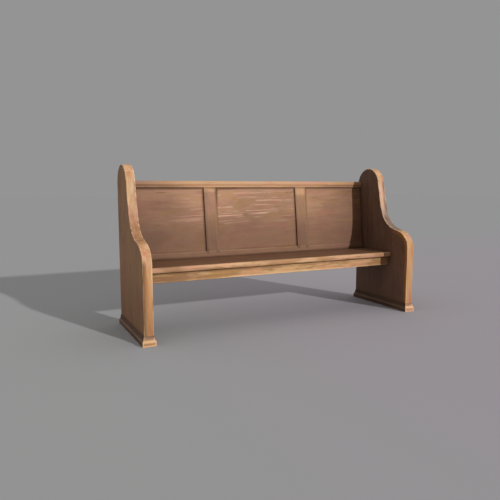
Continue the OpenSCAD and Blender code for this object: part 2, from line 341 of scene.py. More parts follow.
def places(marks, low, high, gap):
    """Sorted cut places: each mark with the fine ones beside it, and enough more that none is
    further than gap from the next."""
    found = sorted(m + s * o for m in marks for o in FINE for s in (-1, 1))
    kept = [low]
    for value in found:
        if low + CUT_MARGIN < value < high - CUT_MARGIN and value - kept[-1] > CUT_APART:
            kept.append(value)
    kept.append(high)
    full = []
    for a, b in zip(kept, kept[1:]):
        count = max(1, math.ceil((b - a) / gap))
        full += [a + (b - a) * i / count for i in range(count)]
    return full[1:]


def cut_flats(node, bm, near):
    """Cuts the flat faces, and across x the curved ones too, finely near the given lines and
    coarsely elsewhere, so that attributes at the vertices follow wear, and dirt with painted shade."""
    axes = axes_of(node)
    local = axes.inverted()
    gap = END_CUT_GAP if node.startswith("end_") else CUT_GAP
    points = np.array([local @ v.co for v in bm.verts], float)
    low, high = points.min(0), points.max(0)
    turned = np.array([[local @ Vector(p) for p in line] for line in near], float).reshape(-1, 2, 3)
    for axis in range(3):
        across = np.abs(turned[:, 1] - turned[:, 0])[:, axis] < SAME
        marks = sorted(set(np.round(turned[across][:, 0, axis], MARK_DIGITS)))
        for value in places(marks, low[axis], high[axis], gap[axis]):
            at = axes @ (Vector([value if i == axis else 0 for i in range(3)]))
            cut(bm, at, axes.col[axis], axis == 0)
    bm.normal_update()


def cut(bm, at, normal, curved_too):
    """Cuts the flat faces, and the curved ones if asked, along the plane through at."""
    flat = bm.faces.layers.int.get("flat_face")
    faces = [f for f in bm.faces if (f[flat] or curved_too) and f.material_index == 0]
    edges = {e for f in faces for e in f.edges}
    verts = {v for f in faces for v in f.verts}
    geometry = faces + list(edges | verts)
    bmesh.ops.bisect_plane(bm, geom=geometry, plane_co=at, plane_no=normal, dist=CUT_SNAP)


def distance(points, segments, reach):
    """1 at a segment, falling to 0 at reach from the nearest one."""
    if len(segments) == 0:
        return np.zeros(len(points))
    nearest = np.full(len(points), reach)
    for a, b in segments:
        along = b - a
        share = np.clip((points - a) @ along / max(along @ along, NO_LENGTH), 0, 1)
        nearest = np.minimum(nearest, np.linalg.norm(points - a - share[:, None] * along, axis=1))
    return 1 - nearest / reach


def near_box(segments, low, high, reach):
    """The segments that pass within reach of a box."""
    lows, highs = segments.min(1), segments.max(1)
    return segments[np.all((lows < high + reach) & (highs > low - reach), axis=1)]


def loop_normal(loop, level):
    """One loop's normal: its flat's own, the flat's that its curve runs into, or the curve's mean."""
    face = loop.face
    if level[face]:
        return face.normal
    around = [f for f in loop.vert.link_faces if f.normal.dot(face.normal) > BLEND]
    firm = [f for f in around if level[f]]
    if firm:
        return max(firm, key=lambda f: f.normal.dot(face.normal)).normal
    return sum((f.normal * f.calc_area() for f in around), Vector()).normalized()


def loop_normals(bm):
    """Normals that keep the flats flat and let the rounded arrises and curves run smoothly into them."""
    flat = bm.faces.layers.int.get("flat_face")
    level = {f: bool(f[flat]) and f.material_index == 0 for f in bm.faces}
    return [tuple(loop_normal(loop, level)) for face in bm.faces for loop in face.loops]


def corner_dirt_and_shade(points, corners, faint_lines):
    """Dirt and painted shade: 1 in the corners, less in the faint ones, falling to 0 at the reach."""
    low, high = points.min(0), points.max(0)
    dirt_and_shade, little = (distance(points, near_box(found, low, high, REACH_CORNER), REACH_CORNER)
                    for found in (corners, faint_lines))
    share = np.interp(points[:, 2], (BACK_LOW.z, BACK_HIGH.z), FAINT_CORNER_SHARE)
    return np.maximum(dirt_and_shade, share * little)


def made_mesh(node, bm, arris, corners, faint_lines):
    """The finished mesh, with its normals and the two attributes."""
    bm.verts.index_update()
    normals = loop_normals(bm)
    for face in bm.faces:
        face.smooth = True
        face.material_index = 0
    mesh = bpy.data.meshes.new(node + "_worked")
    bm.to_mesh(mesh)
    bm.free()
    mesh.normals_split_custom_set(normals)
    points = np.array([v.co for v in mesh.vertices], float)
    worn = distance(points, arris, REACH_ARRIS)
    dirt_and_shade_amount = corner_dirt_and_shade(points, corners, faint_lines)
    for name, values in (("arris", worn), ("corner", dirt_and_shade_amount)):
        layer = mesh.attributes.new(name, "FLOAT", "POINT")
        layer.data.foreach_set("value", values.astype(np.float32))
    return mesh


# ---- Node graphs ----

NODES_IN_ROW = 12
NODE_SPACING = (190, -320)


class Graph:
    """A short way to add shader nodes. Most methods return an output socket."""

    def __init__(self, tree):
        self.tree = tree
        self.nodes = tree.nodes
        self.count = 0

    def add(self, kind, **settings):
        node = self.nodes.new(kind)
        row, column = divmod(self.count, NODES_IN_ROW)
        node.location = (column * NODE_SPACING[0], row * NODE_SPACING[1])
        self.count += 1
        for name, value in settings.items():
            setattr(node, name, value)
        return node

    def join(self, source, target):
        if isinstance(source, bpy.types.NodeSocket):
            self.tree.links.new(source, target)
        else:
            target.default_value = source

    def math(self, operation, a, b=0.0, c=0.0, clamp=False):
        node = self.add("ShaderNodeMath", operation=operation, use_clamp=clamp)
        for value, socket in zip((a, b, c), node.inputs):
            self.join(value, socket)
        return node.outputs[0]

    def times(self, first, *others):
        """The product of them all."""
        for other in others:
            first = self.math("MULTIPLY", first, other)
        return first

    def swing(self, value, depth, middle):
        """A value from 0 to 1, turned into one that swings about middle, depth from end to end."""
        return self.math("MULTIPLY_ADD", self.math("SUBTRACT", value, 0.5), depth, middle)

    def stretch(self, vector, scale):
        node = self.add("ShaderNodeVectorMath", operation="MULTIPLY")
        self.join(vector, node.inputs[0])
        node.inputs[1].default_value = scale
        return node.outputs[0]

    def noise(self, vector, scale, detail=3.0, rough=0.55, twist=0.0):
        """Noise from 0 to 1; scale gives its waves to the metre along each axis."""
        node = self.add("ShaderNodeTexNoise")
        self.join(self.stretch(vector, scale), node.inputs["Vector"])
        node.inputs["Scale"].default_value = 1.0
        node.inputs["Detail"].default_value = detail
        node.inputs["Roughness"].default_value = rough
        node.inputs["Distortion"].default_value = twist
        return node.outputs["Fac"]

    def step(self, value, low, high):
        """0 below low, 1 above high, smooth between them. low may lie above high."""
        node = self.add("ShaderNodeMapRange", interpolation_type="SMOOTHSTEP")
        self.join(value, node.inputs["Value"])
        node.inputs["From Min"].default_value = low
        node.inputs["From Max"].default_value = high
        return node.outputs["Result"]

    def mix(self, share, a, b, how="MIX"):
        node = self.add("ShaderNodeMix", data_type="RGBA", blend_type=how)
        self.join(share, node.inputs["Factor"])
        self.join(self.rgba(a), node.inputs["A"])
        self.join(self.rgba(b), node.inputs["B"])
        return node.outputs["Result"]

    def tint(self, share, colour, tone):
        """The colour multiplied by a tone, as far as share says."""
        return self.mix(share, colour, tone, "MULTIPLY")

    def rgba(self, colour):
        return (*colour, 1.0) if isinstance(colour, tuple) else colour

    def split(self, vector):
        node = self.add("ShaderNodeSeparateXYZ")
        self.join(vector, node.inputs[0])
        return node.outputs

    def facing(self):
        """The components of the surface's direction."""
        return self.split(self.add("ShaderNodeNewGeometry").outputs["Normal"])

    def attribute(self, name):
        return self.add("ShaderNodeAttribute", attribute_name=name).outputs["Fac"]

    def bump(self, height, strength, depth):
        node = self.add("ShaderNodeBump")
        node.inputs["Strength"].default_value = strength
        node.inputs["Distance"].default_value = depth
        self.join(height, node.inputs["Height"])
        return node.outputs[0]


def group_socket(tree, name, way, kind="NodeSocketFloat"):
    tree.interface.new_socket(name=name, in_out=way, socket_type=kind)


# The noises of the wood's figure. For each: its waves to the metre along the grain, across and
# across, its detail, its roughness and its twist.
NOISES = {
    "Streak": ((3.2, 42.0, 42.0), 4.0, 0.62, 0.0),
    "Rubbed": ((5.0, 85.0, 85.0), 3.0, 0.60, 0.0),
    "Long Rub": ((2.8, 88.0, 88.0), 2.0, 0.45, 0.0),
    "Fibre": ((14.0, 420.0, 420.0), 3.0, 0.60, 0.0),
    "Pore": ((55.0, 1150.0, 1150.0), 1.0, 0.50, 0.0),
    "Blotch": ((2.2, 4.5, 4.5), 3.0, 0.55, 0.4),
    "Mottle": ((5.0, 12.0, 12.0), 4.0, 0.60, 0.3),
}
WANDER = ((0.9, 5.0, 5.0), 2.0, 0.55, 0.0)
WANDER_DEPTH = 34 * MM       # how far the rings wander from true circles
PORES = (0.62, 0.72)         # of the Pore noise: a pore's edge and its middle
RING_WIDTH = 5.2 * MM
RING_EDGE = 2.4              # how narrow a ring's dark line is
LIFT = {"Fibre": 0.55, "Ring": -0.25, "Pore": -0.6}     # each one's part in the height
FIGURES = (*NOISES, "Ring", "Height")


def rings(g, vector):
    """Growth rings about the x axis: 1 in their dark lines."""
    apart = g.split(vector)
    wander = g.times(g.math("SUBTRACT", g.noise(vector, *WANDER), 0.5), WANDER_DEPTH)
    square = g.math("ADD", g.math("POWER", apart[1], 2.0), g.math("POWER", apart[2], 2.0))
    radius = g.math("ADD", g.math("SQRT", square), wander)
    turn = g.math("SINE", g.times(radius, 2 * math.pi / RING_WIDTH))
    return g.math("POWER", g.math("MULTIPLY_ADD", turn, 0.5, 0.5), RING_EDGE)


def wood_figure():
    """The figure of solid wood as a node group. Its vector runs along x with the grain, with the
    tree's middle along the x axis. The outputs run from 0 to 1, but for Height."""
    tree = bpy.data.node_groups.new("wood_figure", "ShaderNodeTree")
    group_socket(tree, "Vector", "INPUT", "NodeSocketVector")
    for name in FIGURES:
        group_socket(tree, name, "OUTPUT")
    g = Graph(tree)
    vector = g.add("NodeGroupInput").outputs["Vector"]
    made = {name: g.noise(vector, *settings) for name, settings in NOISES.items()}
    made["Pore"] = g.step(made["Pore"], *PORES)
    made["Ring"] = rings(g, vector)
    made["Height"] = 0.0
    for name, part in LIFT.items():
        made["Height"] = g.math("ADD", made["Height"], g.times(made[name], part))
    end = g.add("NodeGroupOutput")
    for name in FIGURES:
        g.join(made[name], end.inputs[name])
    return tree


FIGURE = wood_figure()


# ---- Woods ----

# Linear colours. deep: grain lines and hollows, body and pale: the run of the wood, worn: where it
# is rubbed, lines: how strongly the rings show.
PALETTE = {
    "wood_end": dict(deep=(0.185, 0.090, 0.042), body=(0.385, 0.203, 0.104), pale=(0.490, 0.270, 0.140),
                     worn=(0.780, 0.520, 0.300), rough=0.60, lines=0.30),
    "wood_foot": dict(deep=(0.170, 0.080, 0.040), body=(0.400, 0.215, 0.112), pale=(0.500, 0.285, 0.155),
                      worn=(0.720, 0.440, 0.255), rough=0.60, lines=0.34),
    "wood_rail": dict(deep=(0.190, 0.095, 0.048), body=(0.430, 0.226, 0.112), pale=(0.550, 0.305, 0.155),
                      worn=(0.550, 0.325, 0.185), rough=0.58, lines=0.30),
    "muntin": dict(deep=(0.150, 0.073, 0.040), body=(0.330, 0.172, 0.094), pale=(0.400, 0.218, 0.122),
                   worn=(0.560, 0.340, 0.200), rough=0.58, lines=0.22),
    "wood_panel": dict(deep=(0.160, 0.075, 0.040), body=(0.320, 0.163, 0.088), pale=(0.430, 0.232, 0.130),
                       worn=(0.620, 0.400, 0.262), rough=0.58, lines=0.20),
    "wood_seat": dict(deep=(0.075, 0.034, 0.018), body=(0.143, 0.071, 0.038), pale=(0.195, 0.098, 0.053),
                      worn=(0.600, 0.365, 0.200), rough=0.52, lines=0.25),
    "wood_plain": dict(deep=(0.300, 0.190, 0.105), body=(0.520, 0.360, 0.215), pale=(0.640, 0.470, 0.300),
                       worn=(0.700, 0.520, 0.340), rough=0.72, lines=0.34),
}
TONES_LIKE = {"back_bottom_rail": "wood_panel", "back_muntin_left": "muntin", "back_muntin_right": "muntin"}
SHINE = 0.22                 # an old dry wax finish
WOOD_BUMP = (0.35, 0.6 * MM)
GRAIN_TURN = ((0, 0, 0), (0, 0, -math.pi / 2), (0, math.pi / 2, 0))     # brings the grain's axis to x
HEART = (50, 110)            # millimetres from a piece's middle to the tree's, and to its side
HEART_SIDE = (-40, 40)
TREE = (-9, 9)               # metres along the tree
TILT = (-0.03, 0.03)         # radians between a piece and its tree


def place_in_tree(g, node, vector, draw):
    """Moves a vector along the grain to the piece's own place in a tree."""
    low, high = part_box(node)
    turned = turn_vector(node, (low + high) / 2)
    shift = g.add("ShaderNodeMapping")
    g.join(vector, shift.inputs["Vector"])
    heart = draw.uniform(*HEART) * MM
    side = draw.uniform(*HEART_SIDE) * MM
    shift.inputs["Location"].default_value = (draw.uniform(*TREE), side - turned.y, heart - turned.z)
    shift.inputs["Rotation"].default_value = (0, draw.uniform(*TILT), draw.uniform(*TILT))
    return shift.outputs[0]


def grain_space(g, node, spot, draw):
    """Object coordinates turned so that x runs with the piece's grain, at its place in a tree."""
    level = g.add("ShaderNodeVectorRotate", rotation_type="X_AXIS")
    g.join(spot, level.inputs["Vector"])
    level.inputs["Angle"].default_value = LEAN if leans(node) else 0.0
    turn = g.add("ShaderNodeMapping")
    g.join(level.outputs[0], turn.inputs["Vector"])
    turn.inputs["Rotation"].default_value = GRAIN_TURN[grain_of(node)]
    return place_in_tree(g, node, turn.outputs[0], draw)


def turn_vector(node, point):
    """Where grain_space's first two steps put a point."""
    lean = Matrix.Rotation(LEAN if leans(node) else 0.0, 3, "X")
    angles = GRAIN_TURN[grain_of(node)]
    return Matrix.Rotation(angles[2], 3, "Z") @ Matrix.Rotation(angles[1], 3, "Y") @ (lean @ point)


def wood(node, slot, draw):
    """A wood material for one piece."""
    tones = PALETTE[TONES_LIKE.get(node, slot)]
    material = bpy.data.materials.new(node + "_wood")
    material.use_nodes = True
    material.node_tree.nodes.clear()
    g = Graph(material.node_tree)
    spot = g.add("ShaderNodeTexCoord").outputs["Object"]
    figure = g.add("ShaderNodeGroup", node_tree=FIGURE)
    g.join(grain_space(g, node, spot, draw), figure.inputs["Vector"])
    out = figure.outputs
    colour, dirt_and_shade_amount = coloured(g, node, slot, out, g.split(spot), tones)
    shader = g.add("ShaderNodeBsdfPrincipled")
    shader.inputs["Specular IOR Level"].default_value = SHINE
    g.join(colour, shader.inputs["Base Color"])
    g.join(roughness(g, out, tones, dirt_and_shade_amount), shader.inputs["Roughness"])
    g.join(g.bump(out["Height"], *WOOD_BUMP), shader.inputs["Normal"])
    g.join(shader.outputs[0], g.add("ShaderNodeOutputMaterial").inputs["Surface"])
    return material


def coloured(g, node, slot, out, place, tones):
    """The piece's colour from its figure, its place and its wear, and where its corners carry dirt and
    painted shade.
    """
    colour = figured(g, out, tones)
    if slot == "wood_end":
        colour = end_tones(g, node, out, place, colour)
    if leans(node):
        colour = back_tones(g, node, out, place, tones, colour)
    colour = g.mix(worn_arris(g, node, out), colour, worn_tone(g, node, out, place, tones["worn"]))
    colour = mottled(g, out, colour)
    colour = shaded(g, node, out, place, colour)
    # Dirt and painted shade in the corners where pieces meet.
    dirt_and_shade = g.swing(out["Blotch"], DIRT_AND_SHADE_SWING, g.attribute("corner"))
    dirt_and_shade_amount = g.times(g.step(dirt_and_shade, *DIRT_AND_SHADE_RANGE), dirt_and_shade_share_of(node))
    return g.mix(dirt_and_shade_amount, colour, DIRT_AND_SHADE), dirt_and_shade_amount


# ---- Tones that every piece has ----

# A pair is where a change starts and where it is complete: of a noise, of an attribute, of a
# component of the surface's direction, or of a place in metres.
STREAKED = (0.30, 0.70)
FIBRED = (0.62, 0.36)
BLOTCHED = (0.55, 0.30)
FIBRE_SHARE = 0.20
PORE_SHARE = 0.30
BLOTCH_SHARE = 0.35
ROSY = (1.0, 0.86, 0.90)
GOLDEN = (1.0, 0.97, 0.80)
TURNED_ROSY = (0.50, 0.62)
TURNED_GOLDEN = (0.50, 0.38)
TURNED = 0.9
# Dirt and painted shade in the corners, and how much of it each kind of piece gets.
DIRT_AND_SHADE = (0.050, 0.020, 0.007)
DIRT_AND_SHADE_RANGE = (0.55, 1.05)
DIRT_AND_SHADE_SWING = 0.5             # how much the blotches break it up
# The cap and the top rail get only a faint share of the dirt and painted shade.
FAINT_CORNER_PIECES = ("back_cap", "back_top_rail")
DIRT_AND_SHADE_SHARE = {"faint_corner": 0.05, "end": 0.35, "back": 0.85, "other": 0.75}
ROUGHER = {"Streak": 0.22, "Dirt": 0.25, "Pore": 0.12}
END_WEAR = (0.7, (0.82, 0.95), 0.85)       # how broken the worn line is, where it runs, how bare it is
WEAR = (0.9, (0.55, 0.98), 0.88)
FRAME_WEAR = (0.9, (0.55, 0.98), 0.15)     # on the back's frame and panels


def figured(g, out, tones):
    """The wood's own figure: broad streaks, rings, fibres, pores and blotches of stain."""
    colour = g.mix(g.step(out["Streak"], *STREAKED), tones["body"], tones["pale"])
    colour = g.mix(g.times(out["Ring"], tones["lines"]), colour, tones["deep"])
    colour = g.mix(g.times(g.step(out["Fibre"], *FIBRED), FIBRE_SHARE), colour, tones["deep"])
    colour = g.mix(g.times(out["Pore"], PORE_SHARE), colour, tones["deep"])
    return g.mix(g.times(g.step(out["Blotch"], *BLOTCHED), BLOTCH_SHARE), colour, tones["deep"])


def mottled(g, out, colour):
    """Patches where the old finish has turned rosy or golden."""
    rosy = g.times(g.step(out["Mottle"], *TURNED_ROSY), TURNED)
    golden = g.times(g.step(out["Mottle"], *TURNED_GOLDEN), TURNED)
    return g.tint(golden, g.tint(rosy, colour, ROSY), GOLDEN)


def dirt_and_shade_share_of(node):
    if node in FAINT_CORNER_PIECES:
        return DIRT_AND_SHADE_SHARE["faint_corner"]
    if node.startswith("end_"):
        return DIRT_AND_SHADE_SHARE["end"]
    return DIRT_AND_SHADE_SHARE["back" if leans(node) else "other"]


def roughness(g, out, tones, dirt_and_shade_amount):
    rough = g.swing(out["Streak"], ROUGHER["Streak"], tones["rough"])
    rough = g.math("ADD", rough, g.times(dirt_and_shade_amount, ROUGHER["Dirt"]))
    return g.math("ADD", rough, g.times(out["Pore"], ROUGHER["Pore"]), clamp=True)


def wear_of(node):
    if node.startswith("end_"):
        return END_WEAR
    return FRAME_WEAR if leans(node) and node != "back_cap" else WEAR


def worn_arris(g, node, out):
    """How far the finish is worn off along the arrises: a narrow broken line on the ends."""
    broken, reach, most = wear_of(node)
    return g.times(g.step(g.swing(out["Rubbed"], broken, g.attribute("arris")), *reach), most)


# ---- Tones of the seat, the feet, the cap and the front rail ----

DULL = (0.82, 0.80, 0.84)                  # the cap's left, and the seat's front near the ends
NOSE_DULL = (0.35, 0.80)                   # from the middle
RAIL_DULL = (0.30, 0.85)
LEFT_DULL = (-0.45, -0.85)
FRONT_PATCHES = ((0.76, 0.67, 0.62), (1.12, 1.10, 1.05))   # where the seat's front is dirty and rubbed
PATCHED = (0.44, 0.56)
RAIL_GOLD = (1.22, 1.38, 1.30)             # the front rail's old finish
ENDS_PAINTED_SHADE = (0.66, 0.62, 0.62)                 # painted shade on the back near the ends
ENDS_PAINTED_SHADE_FROM = (0.44, 1.0)
CAP_UNDER_PAINTED_LIGHT = (1.36, 1.30, 1.24)             # painted light on the cap's lower, downward-facing edge
CAP_FACING = (0.10, -0.50)
MUNTIN_GOLD = (1.42, 1.47, 1.36)           # a muntin's golden top
MUNTIN_TOP = {"left": (0.866, 0.886), "right": (0.836, 0.862)}
FOOT_TOP = (0.70, 0.74, 0.80)              # darker on the left front foot's upper part
FOOT_TOP_ABOVE = (0.030, 0.040)
# Painted shade on the feet's outer and inner long sides.
FOOT_PAINTED_SHADE = {"outer": (0.36, 0.36, 0.40), "inner": (0.25, 0.25, 0.28)}
ARRIS_PAINTED_SHADE = (0.42, 0.42, 0.44)                 # painted shade on the left end's outer front arris, as on a broader rounding
ARRIS_SHADE_ACROSS = ((-0.972, -0.996), (-1.001, -0.995))        # its inner side and its outer one
ARRIS_SHADE_BELOW = (0.52, 0.46)
ARRIS_SHADE_FORWARD = (-0.26, -0.285)


def worn_tone(g, node, out, place, worn):
    """The bare wood of the arrises. On the seat's nosing it is patchy, and duller near the ends."""
    if node != "seat_board_front":
        return worn
    worn = g.tint(1.0, worn, front_patches(g, out))
    return g.tint(g.step(g.math("ABSOLUTE", place[0]), *NOSE_DULL), worn, DULL)


def front_patches(g, out):
    """Dirty and rubbed patches, drawn out along the grain, to multiply a colour by."""
    both = g.math("ADD", g.times(out["Mottle"], 0.5), g.times(out["Streak"], 0.5))
    return g.mix(g.step(both, *PATCHED), *FRONT_PATCHES)


def rail_tones(g, out, place, colour):
    """The front rail is golden and patchy, and duller near the ends."""
    colour = g.tint(1.0, g.tint(1.0, colour, RAIL_GOLD), front_patches(g, out))
    return g.tint(g.step(g.math("ABSOLUTE", place[0]), *RAIL_DULL), colour, DULL)


def arris_shaded(g, place, colour):
    """Painted shade on the left end's outer front arris below the arm, as on a broader rounding."""
    arris_shade = g.times(*(g.step(place[0], *sides) for sides in ARRIS_SHADE_ACROSS))
    arris_shade = g.times(arris_shade, g.step(place[2], *ARRIS_SHADE_BELOW), g.step(place[1], *ARRIS_SHADE_FORWARD))
    return g.tint(arris_shade, colour, ARRIS_PAINTED_SHADE)


def shaded(g, node, out, place, colour):
    """Broad tones of single pieces: among them painted shade on the feet's long sides, the back near the
    ends and the left end's front arris, and painted light under the cap.
    """
    last = node.split("_")[-1]
    # Painted shade on the feet's long sides.
    if node.startswith("foot_") and last in FOOT_PAINTED_SHADE:
        colour = g.tint(1.0, colour, FOOT_PAINTED_SHADE[last])
    if node == "foot_left_front":
        colour = g.tint(g.step(place[2], *FOOT_TOP_ABOVE), colour, FOOT_TOP)
    # Painted shade on the back near the ends.
    if leans(node):
        colour = g.tint(g.step(g.math("ABSOLUTE", place[0]), *ENDS_PAINTED_SHADE_FROM), colour, ENDS_PAINTED_SHADE)
    if node == "seat_rail":
        colour = rail_tones(g, out, place, colour)
    # Painted light on the cap's downward-facing edge.
    if node == "back_cap":
        colour = g.tint(g.step(g.facing()[2], *CAP_FACING), colour, CAP_UNDER_PAINTED_LIGHT)
    if node in ("back_cap", "back_top_rail", "seat_rail"):
        colour = g.tint(g.step(place[0], *LEFT_DULL), colour, DULL)
    if "muntin" in node:
        colour = g.tint(g.step(place[2], *MUNTIN_TOP[last]), colour, MUNTIN_GOLD)
    # Painted shade on the left end's outer front arris.
    return arris_shaded(g, place, colour) if node.startswith("end_left") else colour


# ---- Tones of the ends ----

INNER_PAINTED_SHADE = (0.40, 0.43, 0.56)                # painted shade on the inner faces
INNER_FACING = (0.45, 0.85)
INNER_ROUNDING_PAINTED_SHADING = (0.350, 0.132, 0.038)            # painted shading on the inner faces behind their front edges, as where a broad rounding turns from shade to light
ROUNDING_SHADING_REACH = (-0.08, 0.36)
ROUNDING_SHADING_BELOW = (0.61, 0.55)
ROUNDING_SHADING_FORWARD = (0.0, -0.10)
RIM = ((0.490, 0.240, 0.110), (0.590, 0.360, 0.195))       # the worn edge, in its darker and paler streaks
RIM_STREAKED = (0.36, 0.62)
RIM_ACROSS = (0.85, 0.35)                  # the rim faces less than this to a side
RIM_BEHIND = (1.4, 0.2)                    # and fades to the rear
RIM_SHARE = 0.9
RIM_NECK = {                               # the neck's tones on its left and on its right
    "left": ((1.02, 1.12, 1.30), (1.00, 1.10, 1.26)),
    "right": ((1.20, 1.38, 1.66), (0.55, 0.58, 0.74)),
}
NECK_ABOVE = (0.64, 0.78)
NECK_BELOW = (0.99, 0.90)
NECK_ACROSS = (0.25, 0.85)                 # share of the end's thickness
RIM_FRONT = {"left": (1.02, 0.92, 0.76), "right": (0.95, 0.85, 0.76)}
FRONT_BELOW = (0.52, 0.42)
SCUFF_ACROSS = (0.70, 0.90)
SCUFFED = (0.50, 0.40)
SCUFF_SHARE = 0.7
GRIME = {"left": (0.56, 0.49, 0.43), "right": (0.24, 0.35, 0.62)}     # from hands on the arms
ARM_FACING = (0.10, 0.55)
ARM_BELOW = (0.86, 0.72)
ARM_BEHIND = (-0.22, -0.15)
ARM_SHARE = 0.8
# Painted shade on the ends, darker towards the floor.
FLOOR_PAINTED_SHADE_BELOW = (0.50, 0.02)
FLOOR_PAINTED_SHADE_SHARE = {"left": 0.45, "right": 0.25}


def end_tones(g, node, out, place, colour):
    """An end's rim is worn bright, its inner face is darkened with painted shade, and painted shade darkens
    it towards the floor.
    """
    side = node.split("_")[1]
    facing = g.facing()
    colour = inner_tones(g, side, facing, place, colour)
    rim = g.times(g.step(g.math("ABSOLUTE", facing[0]), *RIM_ACROSS), g.step(facing[1], *RIM_BEHIND))
    neck = g.times(g.step(place[2], *NECK_ABOVE), g.step(place[2], *NECK_BELOW))
    low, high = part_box(node)
    across = g.math("DIVIDE", g.math("SUBTRACT", place[0], low.x), high.x - low.x)
    colour = g.mix(g.times(rim, RIM_SHARE), colour, rim_tone(g, side, out, place, neck, across))
    scuffs = g.times(g.step(across, *SCUFF_ACROSS), g.step(out["Rubbed"], *SCUFFED), g.times(neck, rim))
    colour = g.mix(g.times(scuffs, SCUFF_SHARE), colour, PALETTE["wood_end"]["deep"])
    colour = arm_tones(g, side, facing, place, colour)
    # Painted shade towards the floor.
    dark = g.times(g.step(place[2], *FLOOR_PAINTED_SHADE_BELOW), FLOOR_PAINTED_SHADE_SHARE[side])
    return g.mix(dark, colour, PALETTE["wood_end"]["deep"])


def inner_tones(g, side, facing, place, colour):
    """The inner face is darkened with painted shade, with an orange strip of painted shading behind its
    front edge, as on a broad rounding.
    """
    # Painted shade on the inner face.
    inner = g.step(g.times(facing[0], 1.0 if side == "left" else -1.0), *INNER_FACING)
    colour = g.tint(inner, colour, INNER_PAINTED_SHADE)
    # Painted shading of a broad rounding, behind the front edge.
    rounding_shading = g.times(g.step(g.attribute("arris"), *ROUNDING_SHADING_REACH), g.step(place[2], *ROUNDING_SHADING_BELOW))
    rounding_shading = g.times(rounding_shading, g.step(place[1], *ROUNDING_SHADING_FORWARD))
    return g.mix(g.times(inner, rounding_shading), colour, INNER_ROUNDING_PAINTED_SHADING)


def rim_tone(g, side, out, place, neck, across):
    """The rim's streaked tone, with its own tints on the neck and below the arm."""
    bright = g.mix(g.step(out["Streak"], *RIM_STREAKED), *RIM)
    bright = g.tint(neck, bright, g.mix(g.step(across, *NECK_ACROSS), *RIM_NECK[side]))
    return g.tint(g.step(place[2], *FRONT_BELOW), bright, RIM_FRONT[side])


def arm_tones(g, side, facing, place, colour):
    """Hands have darkened the arm."""
    arm = g.times(g.step(facing[2], *ARM_FACING), g.step(place[2], *ARM_BELOW))
    arm = g.times(arm, g.step(place[1], *ARM_BEHIND))
    return g.tint(g.times(arm, ARM_SHARE), colour, GRIME[side])


# ---- Tones of the back ----

LEANT_ASIDE = (0.66, 0.22)                 # from the middle: where sitters' backs keep it pale
LEANT_RISE = (0.35, 0.70)                  # heights as shares of the middle panel's
LEANT_SHARE = 0.6
UNDER_RISE = (0.85, 0.15)                  # and where it is darker towards the seat
UNDER_SHARE = 0.76
MUNTIN_UNDER_SHARE = 0.86
DARK_BLOTCHED = (0.52, 0.38)
DARK_BLOTCH_SHARE = 0.25
PALE_BLOTCHED = (0.50, 0.62)
PALE_BLOTCH_RISE = (0.5, 0.8)
PALE_BLOTCH_SHARE = 0.45
RUB_MIDDLE = -0.10                         # where along the back sitters have rubbed it most
RUB_ASIDE = (0.68, 0.10)                   # from there
RUB_RISE = ((0.30, 0.55), (1.05, 0.80))    # the rubbed band's lower and upper side
RUB_FACING = (0.5, -0.5)
RUB_STREAKED = (0.50, 0.66)
RUB_PATCHED = (0.42, 0.56)
RUB_SHARE = 0.68
MUNTIN_RUB_SHARE = 0.15
SCARRED = (0.40, 0.30)
SCAR_PATCHED = (0.52, 0.44)
SCAR_SHARE = 0.65


def risen(g, place, start, full):
    """A change over the back's height, given in shares of the middle panel's height."""
    rise = BACK_HIGH.z - BACK_LOW.z
    return g.step(place[2], BACK_LOW.z + start * rise, BACK_LOW.z + full * rise)


def back_tones(g, node, out, place, tones, colour):
    """The back is pale where sitters lean, darker towards the seat, blotched, rubbed and scarred."""
    leant = g.times(g.step(g.math("ABSOLUTE", place[0]), *LEANT_ASIDE), risen(g, place, *LEANT_RISE))
    colour = g.mix(g.times(leant, LEANT_SHARE), colour, tones["pale"])
    if node != "back_cap":
        most = MUNTIN_UNDER_SHARE if "muntin" in node else UNDER_SHARE
        colour = g.mix(g.times(risen(g, place, *UNDER_RISE), most), colour, tones["deep"])
    dark = g.times(g.step(out["Blotch"], *DARK_BLOTCHED), DARK_BLOTCH_SHARE)
    colour = g.mix(dark, colour, tones["deep"])
    light = g.times(g.step(out["Blotch"], *PALE_BLOTCHED), risen(g, place, *PALE_BLOTCH_RISE))
    colour = g.mix(g.times(light, PALE_BLOTCH_SHARE), colour, tones["pale"])
    colour = g.mix(rubbed_streaks(g, node, out, place), colour, tones["worn"])
    scars = g.times(g.step(out["Rubbed"], *SCARRED), g.step(out["Mottle"], *SCAR_PATCHED))
    return g.mix(g.times(scars, SCAR_SHARE), colour, tones["deep"])


def rubbed_streaks(g, node, out, place):
    """Long streaks on the back's front where the finish is rubbed off."""
    aside = g.math("ABSOLUTE", g.math("SUBTRACT", place[0], RUB_MIDDLE))
    lower, upper = (risen(g, place, *edge) for edge in RUB_RISE)
    zone = g.times(lower, g.step(aside, *RUB_ASIDE), upper, g.step(g.facing()[1], *RUB_FACING))
    streaks = g.times(g.step(out["Long Rub"], *RUB_STREAKED), g.step(out["Mottle"], *RUB_PATCHED))
    return g.times(streaks, zone, MUNTIN_RUB_SHARE if "muntin" in node else RUB_SHARE)


# ---- Screws ----

RUST_GRAIN = (420.0, 420.0, 420.0)         # waves to the metre
SCRATCHES = (2600.0, 300.0, 300.0)
RUSTED = (0.50, 0.66)
STEEL = (0.42, 0.41, 0.39)
RUST = (0.16, 0.075, 0.035)
RUST_ROUGH = 0.4
SCRATCH_ROUGH = 0.6
STEEL_BUMP = (0.3, 0.1 * MM)


